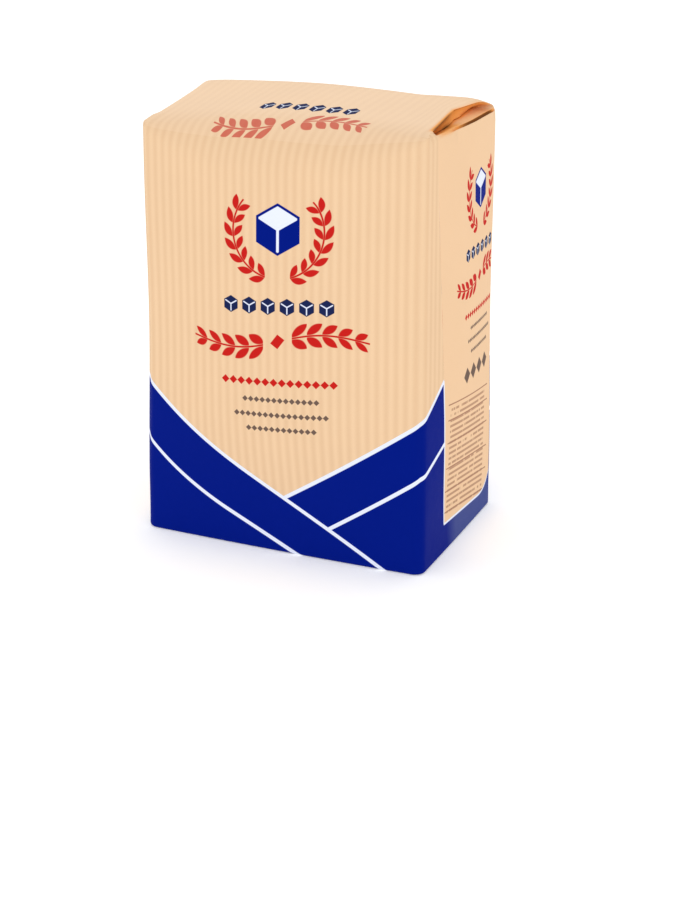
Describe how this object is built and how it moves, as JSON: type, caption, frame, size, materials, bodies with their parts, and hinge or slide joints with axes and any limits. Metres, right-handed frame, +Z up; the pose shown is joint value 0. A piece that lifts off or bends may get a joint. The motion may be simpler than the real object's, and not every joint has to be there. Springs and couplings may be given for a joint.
{
  "type": "paper sugar pack",
  "caption": "Upright block-bottomed paper pack of sugar, shut by folding, with a soft roof, open gusset folds above its sides and a glued back seam.",
  "frame": {"origin": "middle of the underside, where the pack stands on the shelf", "axes": "+Z up the height of the pack, -Y out of its printed front, +X towards its right side as seen from the front"},
  "size_m": [0.0866, 0.0668, 0.1238],
  "materials": {
    "printed_paper": "smooth printed bag paper, faintly satin"
  },
  "bodies": {
    "root": {"sugar_pack": "printed_paper"}
  },
  "joints": []
}
